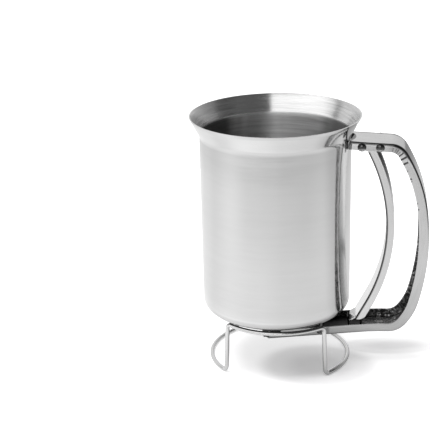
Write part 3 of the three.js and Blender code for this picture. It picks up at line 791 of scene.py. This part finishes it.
# Painted shade in the handle's channel over its length, with painted highlights in the swirls
HANDLE_INSIDE = shaded_inside(
    "handle_inside",
    [(0.0, 0.04), (0.38, 0.12), (0.5, 0.22), (0.62, 0.26), (0.7, 0.24), (0.8, 0.2), (0.9, 0.1), (1.0, 0.06)],
    ripple=(330, 240), length=0.24,
    marks=[(0.4, 0.2), (0.5, 0.5), (0.58, 1.0), (0.66, 2.2), (0.74, 5.0)],
    web=(0.0565, 0.0115, 0.153, 0.85),
)
# Painted shade in the trigger's channel, darkest at its top
TRIGGER_INSIDE = shaded_inside(
    "trigger_inside", [(0.0, 0.2), (0.12, 0.26), (0.22, 0.5), (0.34, 0.85), (1.0, 0.85)],
    ripple=(30, 60), length=0.12, marks=[(0.4, 0.75), (0.7, 1.1)], strength=0.2,
)
STAND_TOP = 0.0355  # height of the stand's top side, in metres
# Rivet heads with painted shade on their upper side
RIVET_STEEL = plain_steel("rivet_heads", 0.8, (0.08, 0.16), 0.5, 0.05, 1100.0, painted_shade_above=0.2)
WIRE_STEEL = drawn_steel("stand_wire_drawn", 0.86, (0.14, 0.26), 0.1, 0.1, (40.0, 1800.0), contact_shadow_height=STAND_TOP)
WELD_STEEL = plain_steel("weld_beads", 0.35, (0.25, 0.5), 0.5, 0.6, 900.0)
SPRING_STEEL = plain_steel("spring_wire", 0.6, (0.2, 0.35), 0.15, 0.1, 800.0)
# Near black: painted shade, for the gate and washers that sit in the channel's shade
SHADED_GATE_STEEL = plain_steel("gate_sheet", 0.025, (0.3, 0.5), 0.4, 0.2, 400.0)


# Pieces


def build_cup():
    outside = wall_line(0, FUNNEL_MOUTH)
    inside = wall_line(SHEET, FUNNEL_MOUTH)[::-1]
    profile = eased(spaced(outside, 4.0) + spaced(inside, 4.0), EDGE)
    verts, faces = lathe(profile, CUP_SEGMENTS)
    obj = mesh_object("cup", verts, faces, "dispenser", "satin_steel", OUTSIDE, ["cup_body"])
    obj.data.materials.append(INSIDE)
    for face in obj.data.polygons:
        centre = face.center / MM
        radius = math.hypot(centre.x - AXIS_X, centre.y)
        towards = (centre.x - AXIS_X) * face.normal.x + centre.y * face.normal.y
        inward = towards < 0 and radius > FUNNEL_MOUTH + SHEET / 4
        on_top = face.normal.z > 0.7 and centre.z < SHOULDER_HEIGHT + 12  # on the funnel, not on the rim
        face.material_index = 1 if inward or on_top else 0


def build_ferrule():
    top = FERRULE_RADIUS + FERRULE_LIP
    lift = SHEET + GAP

    def seat(radius, inset):
        return (radius, funnel_height(radius, inset))

    profile = eased([
        (OUTLET_RADIUS, 0),
        (FERRULE_RADIUS, 0),
        seat(FERRULE_RADIUS, lift),
        seat(top, lift),
        seat(top, lift + SHEET),
        seat(OUTLET_RADIUS, lift + SHEET),
    ], EDGE)
    verts, faces = lathe(profile, 96)
    base = GATE_TOP + GAP
    low = [on_lower_run(0, base)[1] + x * math.tan(BOTTOM_SLOPE) for x, _, _ in verts]
    verts = [(x, y, max(z, at + z) if z < 5 else z) for (x, y, z), at in zip(verts, low)]
    mesh_object("ferrule", verts, faces, "dispenser", "satin_steel", INSIDE, ["outlet_ferrule"])


def flange_depth(heading):
    share = abs(heading) / (math.pi / 2)
    if share < 1:
        return TOP_FLANGE + (GRIP_FLANGE - TOP_FLANGE) * share**2
    return GRIP_FLANGE + (BOTTOM_FLANGE - GRIP_FLANGE) * (share - 1)


def dented(walked, across):
    """How far the flanges' free edges are pushed in by the bending, at a distance along the handle."""
    push = sum(
        (1 - dark) ** 2 * math.exp(-(((walked - middle) / DENT_REACH) ** 2))
        for middle, half, _, high, dark in CREASES
        if half < 2 < high < 10
    )
    return -DENT_DEPTH * push * math.copysign(1, across)


def build_handle():
    section = channel_section(CHANNEL_WIDTH, SHEET, CHANNEL_FOLD, BOTTOM_FLANGE)
    last = len(HANDLE) - 1

    def shift(i, x, across, rise, heading):
        if i == 0:
            target = math.sqrt((BODY_RADIUS + GAP) ** 2 - across**2)
            if abs(across) < RELIEF_WIDTH / 2 and rise < CHANNEL_FOLD:
                target += RELIEF_DEPTH * (1 - abs(2 * across / RELIEF_WIDTH) ** 3)
            return (target - x) / math.cos(heading)
        if i == last:
            flat = CHANNEL_WIDTH / 2 - END_BEVEL_WIDTH
            past = max(0, abs(across) - flat) * END_BEVEL_LENGTH / END_BEVEL_WIDTH
            return (-BOTTOM_END + past - x) / math.cos(heading)
        return 0

    depths = [flange_depth(heading) for _, heading in HANDLE]
    loops = channel_loops(HANDLE, section, CHANNEL_FOLD, BOTTOM_FLANGE, -1, depths, shift)
    under = []
    walked = 0.0
    for i, loop in enumerate(loops):
        if i:
            walked += math.dist(HANDLE[i][0], HANDLE[i - 1][0])
        settled = []
        for (x, y, z), (across, rise) in zip(loop, section):
            share = max(0.0, (rise - CHANNEL_FOLD) / (BOTTOM_FLANGE - CHANNEL_FOLD))
            y += dented(walked, across) * share**1.5
            radius = math.hypot(x, y)
            if z < SHOULDER_HEIGHT and radius < BODY_RADIUS - SHOULDER_BLEND:
                z = min(z, funnel_height(max(FUNNEL_MOUTH, radius)) - GAP)
            settled.append((min(x, HANDLE_REACH), y, z))
        under.append(settled)
    verts, faces = sweep(under)
    obj = mesh_object(
        "handle", verts, faces, "dispenser", "handle_steel", HANDLE_STEEL, ["handle_channel"],
        uvs=path_uvs(under, faces),
    )
    line_inside(obj, section, CHANNEL_WIDTH, HANDLE_INSIDE)
    steps = 48
    ring = [heading_vector(2 * math.pi * k / steps) for k in range(steps)]
    outlet = [(OUTLET_HOLE * c, OUTLET_HOLE * s) for c, s in ring]
    combine_with(obj, *prism(outlet, 0, BOTTOM_HEIGHT + 8, lambda a, b, d: (a, b, d)), "DIFFERENCE")
    for centre in (PIVOT, ANCHOR, GUIDE):
        hole = [moved(centre, turn, RIVET_RADIUS + HEAD_GAP) for turn in ring[::2]]
        combine_with(obj, *prism(hole, -CHANNEL_WIDTH, CHANNEL_WIDTH, sideways), "DIFFERENCE")


def line_inside(obj, section, width, material):
    """Gives the faces on the inner side of a folded channel their own material."""
    obj.data.materials.append(material)
    near = SHEET - 0.02  # of the outer side, just short of the sheet's thickness
    count = len(section)
    inner = [abs(across) < width / 2 - near and rise > near for across, rise in section]
    for face in obj.data.polygons:
        k = face.index % count
        if len(face.vertices) == 4 and inner[k] and inner[(k + 1) % count]:
            face.material_index = 1


def rivet_profile():
    face = CHANNEL_WIDTH / 2 + HEAD_GAP
    sphere = (HEAD_RADIUS**2 + HEAD_HEIGHT**2) / (2 * HEAD_HEIGHT)
    edge = math.asin(HEAD_RADIUS / sphere)
    steps = 12
    dome = []
    for k in range(steps + 1):
        angle = edge * k / steps
        dome.append((sphere * math.sin(angle), face + HEAD_HEIGHT - sphere * (1 - math.cos(angle))))
    return dome + [(HEAD_RADIUS, face), (RIVET_RADIUS, face)]


def build_rivet(name, place, node):
    side = rivet_profile()
    profile = side + [(r, -d) for r, d in reversed(side)]
    segments = 40
    verts = []
    for k in range(segments):
        c, s = heading_vector(2 * math.pi * k / segments)
        verts += [(place[0] + r * c, d, place[1] + r * s) for r, d in profile]
    faces = ring_faces(segments, len(profile), closed_rings=True, closed_ring=False, flip=True)
    mesh_object(name, verts, faces, "dispenser", "rivet_steel", RIVET_STEEL, [node], RIVET_SHARP)


def trigger_pieces(size):
    lead, bow, tail = (share * size for share in TRIGGER_SHARES)
    return [("run", lead), ("arc", bow, TRIGGER_BOW), ("run", tail)]


TRIGGER_TOP = (PIVOT[0] + TRIGGER_TOP_OUT, PIVOT[1] - TRIGGER_TOP_FALL)
TRIGGER_SIZE = size_to_reach(TRIGGER_TOP, -TRIGGER_LEAD, trigger_pieces, TRIGGER_LIFT)


def build_trigger():
    lead, bow, tail = trigger_pieces(TRIGGER_SIZE)
    stations = headed_line(TRIGGER_TOP, -TRIGGER_LEAD, [lead, bow, ("run", tail[1] - TRIGGER_FLANGE)])
    corner = headed_line(*stations[-1], [("run", TRIGGER_FLANGE)], spacing=0.35)
    first = len(stations)
    stations += corner[1:]
    section = channel_section(TRIGGER_WIDTH, SHEET, TRIGGER_FOLD, TRIGGER_FLANGE)
    depths = [TRIGGER_FLANGE] * first
    for k in range(1, len(corner)):
        left = math.sqrt(max(0, 1 - (k / (len(corner) - 1)) ** 2))
        depths.append(max(TRIGGER_FOLD + 0.08, TRIGGER_FLANGE * left))
    loops = channel_loops(stations, section, TRIGGER_FOLD, TRIGGER_FLANGE, 1, depths)
    arm = sweep(loops)
    end, heading = stations[-1]
    bent = heading - TONGUE_BEND
    tip = moved(end, heading_vector(bent), TONGUE_LENGTH)
    up = (-math.sin(bent), math.cos(bent))
    root = moved(end, heading_vector(heading), -TONGUE_ROOT)
    strip = [root, end, tip, moved(tip, up, SHEET), moved(end, up, SHEET), moved(root, up, SHEET)]
    wide = TONGUE_WIDTH / 2
    tongue = prism(eased(strip, EDGE), -wide, wide, sideways)
    obj = mesh_object(
        "trigger", *arm, "trigger", "handle_steel", TRIGGER_STEEL, ["trigger_lever"],
        uvs=path_uvs(loops, arm[1]),
    )
    line_inside(obj, section, TRIGGER_WIDTH, TRIGGER_INSIDE)
    combine_with(obj, *tongue, "UNION")
    across = heading_vector(math.pi / 2 - TRIGGER_LEAD)
    far = moved(TRIGGER_TOP, across, TRIGGER_FLANGE / 2)
    tilt = math.atan2(far[1] - PIVOT[1], far[0] - PIVOT[0])
    ear = []
    for centre, start in ((PIVOT, math.pi / 2), (far, -math.pi / 2)):
        ear += [moved(centre, heading_vector(tilt + start + math.pi * k / 16), EAR_RADIUS) for k in range(17)]
    for side in (-1, 1):
        outer = side * TRIGGER_WIDTH / 2
        low, high = sorted((outer, outer - side * SHEET))
        combine_with(obj, *prism(ear, low, high, sideways), "UNION")


def tube(points, sides, radii, start):
    """A round wire along points, its sides kept in step from the start direction."""
    side = Vector(start)
    loops = []
    for i, point in enumerate(points):
        before = Vector(points[max(i - 1, 0)])
        after = Vector(points[min(i + 1, len(points) - 1)])
        along = (after - before).normalized()
        side = (side - along * side.dot(along)).normalized()
        up = along.cross(side)
        radius = radii(i)
        loop = []
        for k in range(sides):
            c, s = heading_vector(2 * math.pi * k / sides)
            loop.append(tuple(Vector(point) + side * (radius * c) + up * (radius * s)))
        loops.append(loop)
    verts, faces = sweep(loops)
    return verts, faces, path_uvs(loops, faces)


def build_spring():
    wire = SPRING_WIRE / 2
    coil = RIVET_RADIUS + SPRING_GAP + wire
    half = SPRING_TURNS * SPRING_PITCH / 2
    foot = ANCHOR[1] - RIVET_RADIUS - SPRING_GAP - wire
    per_turn = 32
    steps = int(SPRING_TURNS * per_turn)
    points = [(ANCHOR[0] + SHORT_LEG_END, -half, foot)]
    for k in range(steps + 1):
        c, s = heading_vector(-math.pi / 2 - 2 * math.pi * k / per_turn)
        points.append((PIVOT[0] + coil * c, -half + SPRING_PITCH * k / per_turn, PIVOT[1] + coil * s))
    across = heading_vector(math.pi / 2 - TRIGGER_LEAD)
    web = TRIGGER_TOP_OUT * across[0] - TRIGGER_TOP_FALL * across[1] + SHEET
    lean = TRIGGER_LEAD - SQUEEZE
    bend = (web + SPRING_GAP + wire - coil * math.cos(lean)) / math.sin(lean)
    corner = (PIVOT[0] + bend, PIVOT[1] + coil)
    end = moved(corner, heading_vector(-lean), LONG_LEG)
    points += [(corner[0], half, corner[1]), (end[0], half, end[1])]
    verts, faces, _ = tube(points, 12, lambda i: wire, (0, 1, 0))
    mesh_object("spring", verts, faces, "dispenser", "spring_steel", SPRING_STEEL, ["return_spring"])


def build_stand():
    quarter = math.pi / 2
    corner = math.hypot(
        STAND_TOP_RADIUS * math.cos(quarter / 2) - STAND_SHIFT, STAND_TOP_RADIUS * math.sin(quarter / 2)
    )
    reach = WIRE_RADIUS + GAP
    top = funnel_height(corner - reach * math.sin(FUNNEL_SLOPE)) - reach * math.cos(FUNNEL_SLOPE)
    foot = WIRE_RADIUS
    corners = [(quarter, top, 0)]
    for leg in range(4):
        angle = quarter * (leg + 1.5)
        heights = (top, foot) if leg % 2 == 0 else (foot, top)
        corners += [(angle, heights[0], STAND_BEND), (angle, heights[1], STAND_BEND)]
    corners.append((quarter * 5, top, 0))
    unrolled = [(angle * STAND_TOP_RADIUS, z, bend) for angle, z, bend in corners]
    line = spaced(rounded_line(unrolled, math.radians(6)), 2.0)
    butt = GAP / 2 / STAND_TOP_RADIUS
    points = []
    for a, z in line:
        angle = min(max(a / STAND_TOP_RADIUS, quarter + butt), quarter * 5 - butt)
        radius = STAND_FOOT_RADIUS + (STAND_TOP_RADIUS - STAND_FOOT_RADIUS) * (z - foot) / (top - foot)
        c, s = heading_vector(angle)
        points.append((STAND_SHIFT + radius * c, radius * s, z))
    ease = [0.86, 0.96, 1.0]

    def radius(i):
        return WIRE_RADIUS * ease[min(i, len(points) - 1 - i, 2)]

    verts, faces, uvs = tube(points, 24, radius, (0, 1, 0))
    mesh_object("stand", verts, faces, "stand", "wire_steel", WIRE_STEEL, ["stand_wire"], uvs=uvs)


TO_CAMERA = unit((0.1290366, -0.93213871))
TO_RIGHT = (-TO_CAMERA[1], TO_CAMERA[0])


def round_about(tree, vector):
    """0 to 1 once round the object: 0.5 towards the camera's side, more on its right, less on its left."""
    right = tree.vector("DOT_PRODUCT", vector, (*TO_RIGHT, 0))
    front = tree.vector("DOT_PRODUCT", vector, (*TO_CAMERA, 0))
    return tree.math("MULTIPLY_ADD", tree.math("ARCTAN2", right, front), 0.5 / math.pi, 0.5)


def stops(angles):
    """Ramp stops from (degrees right of the camera's side, strength)."""
    return [((angle + 180) / 360, strength / STRONGEST) for angle, strength in angles]


STRONGEST = 1.5  # of all tones below, which a ramp holds as shares of it
# What shines sees these tones: (degrees right of the camera's side, strength)
SOFT_BOXES = [
    (-180, 0.8), (-135, 0.75), (-117, 0.75), (-112, 0.3), (-107, 0.3), (-101, 1.0), (-84, 1.5), (3.5, 1.5),
    (4.5, 0.12), (35, 0.085), (60, 0.1), (74, 0.05), (88, 0.05), (94, 0.07), (100, 0.22), (112, 0.28),
    (126, 0.4), (180, 0.8),
]
NEAR_FLOOR = [
    (-180, 0.53), (-165, 0.58), (-128, 0.5), (-104, 0.46), (-70, 0.5), (-27, 0.475), (11, 0.443), (37, 0.443),
    (66, 0.456), (90, 0.365), (135, 0.44), (180, 0.53),
]
MID_FLOOR = [
    (-180, 0.52), (-165, 0.56), (-128, 0.488), (-104, 0.45), (-70, 0.5), (-40, 0.443), (-10, 0.435),
    (11, 0.42), (37, 0.413), (66, 0.443), (90, 0.36), (135, 0.42), (180, 0.52),
]
DIM_FLOOR = [
    (-180, 0.52), (-165, 0.55), (-128, 0.478), (-104, 0.44), (-70, 0.49), (-40, 0.42), (-10, 0.375),
    (11, 0.35), (37, 0.4), (66, 0.443), (90, 0.37), (135, 0.42), (180, 0.52),
]
FAR_FLOOR = [
    (-180, 0.4), (-160, 0.37), (-128, 0.44), (-104, 0.42), (-70, 0.58), (-40, 0.82), (-10, 0.88), (11, 0.78),
    (37, 0.52), (66, 0.35), (90, 0.34), (160, 0.38), (180, 0.4),
]
# From where to where each of them takes over from the one before, in metres from the cup's axis
FLOOR_TONES = [(0.25, 0.36, MID_FLOOR), (0.47, 0.56, DIM_FLOOR), (0.57, 0.66, FAR_FLOOR)]
FLOOR_RINGS = [
    (0.016, 0.6), (0.026, 0.96), (0.043, 1.04), (0.065, 1.0), (0.085, 1.0), (0.1, 1.12), (0.125, 1.12),
    (0.16, 1.0), (0.25, 1.0), (0.33, 0.99), (0.44, 1.0), (0.558, 0.9), (0.6, 1.05), (0.8, 0.7), (1.0, 0.55),
]
PAPER = (0.93, 0.925, 0.935, 1)
# How much light the floor gives off by itself: less round the object's real shadow, which this glow shapes,
# and less in a painted shadow band of the handle
SHADOW_MIDDLE = (31.0, -19.0)
SHADOW_LIFTS = [(0.01, 0.26), (0.03, 0.37), (0.045, 0.61), (0.06, 0.62)]  # by distance from there, in metres
PAINTED_SHADOW_BAND_MIDDLE = (84.3, 18.3)
PAINTED_SHADOW_BAND_REACH = (0.046, 0.016)  # along and across, in metres
PAINTED_SHADOW_BAND_LIFTS = [(0.2, 0.24), (0.7, 0.42), (1.0, 0.62)]
NEAR_DARK = 0.3  # how dark it is low down in front
CEILING = 0.08
ROOM = 0.4  # light from all round
KEY_SIZE = 0.85
KEY_ENERGY = 13.0
KEY_PLACE = (-0.3, -0.04, 1.15)
KEY_TARGET = (0, 0, 0.08)


def build_world():
    """Plain light from all round; what shines sees soft boxes on the left and a dark side on the right."""
    world = bpy.data.worlds.new("studio")
    world.use_nodes = True
    bpy.context.scene.world = world
    tree = Tree(world.node_tree)
    direction = tree.node("TexCoord").outputs["Generated"]
    rise = tree.parts(direction)[2]
    boxes = tree.ramp(round_about(tree, direction), stops(SOFT_BOXES), smooth=False)
    boxes = tree.scaled(boxes, STRONGEST)
    low = tree.span(rise, 0.24, 0.32, smooth=True)
    high = tree.span(rise, 0.82, 0.88, smooth=True)
    front = tree.vector("DOT_PRODUCT", direction, (*TO_CAMERA, 0))
    horizon = tree.mix(tree.span(front, -0.1, 0.3, smooth=True), boxes, grey(NEAR_DARK))
    seen = tree.mix(low, horizon, boxes)
    seen = tree.mix(high, seen, grey(CEILING))
    rays = tree.node("LightPath").outputs
    lit = tree.mix(rays["Is Glossy Ray"], grey(ROOM), seen)
    shown = tree.mix(rays["Is Camera Ray"], lit, grey(1))
    tree.put(tree.nodes["Background"].inputs["Color"], shown)


def from_middle(tree, place, middle):
    """The place on the floor from a point that is given in millimetres from the cup's axis."""
    return tree.vector("SUBTRACT", place, ((middle[0] + AXIS_X) * MM, middle[1] * MM, 0))


def build_floor():
    """A wide pale floor. What shines sees it darker, with the tones of a lit table round the object."""
    mesh = bpy.data.meshes.new("floor")
    corners = [(-4, -4), (4, -4), (4, 4), (-4, 4)]
    mesh.from_pydata([(x, y, -0.00002) for x, y in corners], [], [(0, 1, 2, 3)])
    floor = bpy.data.objects.new("floor", mesh)
    bpy.context.scene.collection.objects.link(floor)
    paper, tree, shader = started("floor_paper", metallic=0.0)
    place = tree.node("NewGeometry").outputs["Position"]
    centred = from_middle(tree, place, (0, 0))
    around = round_about(tree, centred)
    away = tree.vector("LENGTH", centred)
    tones = tree.ramp(around, stops(NEAR_FLOOR))
    for low, high, table in FLOOR_TONES:
        tones = tree.mix(tree.span(away, low, high), tones, tree.ramp(around, stops(table)))
    rings = tree.ramp(away, [(p, v / STRONGEST) for p, v in FLOOR_RINGS], smooth=False)
    tones = tree.scaled(tree.vector("MULTIPLY", tones, rings), STRONGEST**2)
    off = tree.vector("MULTIPLY", from_middle(tree, place, SHADOW_MIDDLE), (0.95, 1.15, 1.0))
    lift = tree.ramp(tree.vector("LENGTH", off), SHADOW_LIFTS)
    # Painted shadow of the handle: a band where the floor glows less
    off = from_middle(tree, place, PAINTED_SHADOW_BAND_MIDDLE)
    reaches = []
    for way, reach in zip((TO_RIGHT, TO_CAMERA), PAINTED_SHADOW_BAND_REACH):
        reaches.append(tree.vector("DOT_PRODUCT", off, (way[0] / reach, way[1] / reach, 0)))
    far = tree.vector("LENGTH", tree.combine(*reaches, 0.0))
    lift = tree.math("MINIMUM", lift, tree.ramp(far, PAINTED_SHADOW_BAND_LIFTS))
    rays = tree.node("LightPath").outputs
    glossy = rays["Is Glossy Ray"]
    tree.fill(shader, {
        "Base Color": tree.mix(glossy, PAPER, tones),
        "Emission Color": tree.mix(glossy, grey(1), tones),
        "Emission Strength": tree.math("MULTIPLY", tree.math("MAXIMUM", rays["Is Camera Ray"], glossy), lift),
        "Roughness": 1.0,
        "Specular IOR Level": 0.0,
    })
    mesh.materials.append(paper)


def build_studio():
    build_world()
    build_floor()
    key = bpy.data.lights.new("key", "AREA")
    key.shape = "RECTANGLE"
    key.size = KEY_SIZE
    key.size_y = KEY_SIZE
    key.energy = KEY_ENERGY
    lamp = bpy.data.objects.new("key", key)
    lamp.location = KEY_PLACE
    towards = Vector(KEY_TARGET) - Vector(KEY_PLACE)
    lamp.rotation_euler = towards.to_track_quat("-Z", "Y").to_euler()
    lamp.visible_glossy = False
    bpy.context.scene.collection.objects.link(lamp)


# The camera as fitted to the photograph, its place in millimetres from the cup's axis
CAMERA_PLACE = (66.78, -792.54, 392.85)
CAMERA_RIGHT = (0.99142016, 0.12844822, -0.02423061)
CAMERA_UP = (-0.02087155, 0.3385535, 0.94071563)
CAMERA_FORWARD = (-0.1290366, 0.93213871, -0.33832968)
CAMERA_LENS = 101.11


def build_camera():
    data = bpy.data.cameras.new("camera")
    data.sensor_fit = "AUTO"
    data.sensor_width = 36.0
    data.lens = CAMERA_LENS
    data.clip_end = 20.0
    camera = bpy.data.objects.new("camera", data)
    x, y, z = CAMERA_PLACE
    place = ((x + AXIS_X) * MM, y * MM, z * MM)
    rows = zip(CAMERA_RIGHT, CAMERA_UP, CAMERA_FORWARD, place)
    turned = [(right, up, -forward, at) for right, up, forward, at in rows]
    camera.matrix_world = Matrix(turned + [(0, 0, 0, 1)])
    bpy.context.scene.collection.objects.link(camera)
    bpy.context.scene.camera = camera


build_camera()
build_cup()
build_ferrule()
build_handle()
for name, place in (("pivot", PIVOT), ("anchor", ANCHOR), ("guide", GUIDE)):
    build_rivet("rivet_" + name, place, name + "_rivet")
build_trigger()
build_spring()
build_stand()
CAD_LOOKS = {"slide_gate": SHADED_GATE_STEEL}
for side in ("near", "far"):
    CAD_LOOKS["pivot_washer_" + side] = SHADED_GATE_STEEL
    CAD_LOOKS["top_weld_" + side] = CAD_LOOKS["bottom_weld_" + side] = WELD_STEEL
for name, material in CAD_LOOKS.items():
    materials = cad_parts[name].data.materials
    materials.clear()
    materials.append(material)
build_studio()

bpy.context.scene.view_settings.view_transform = "Standard"
bpy.context.view_layer.update()
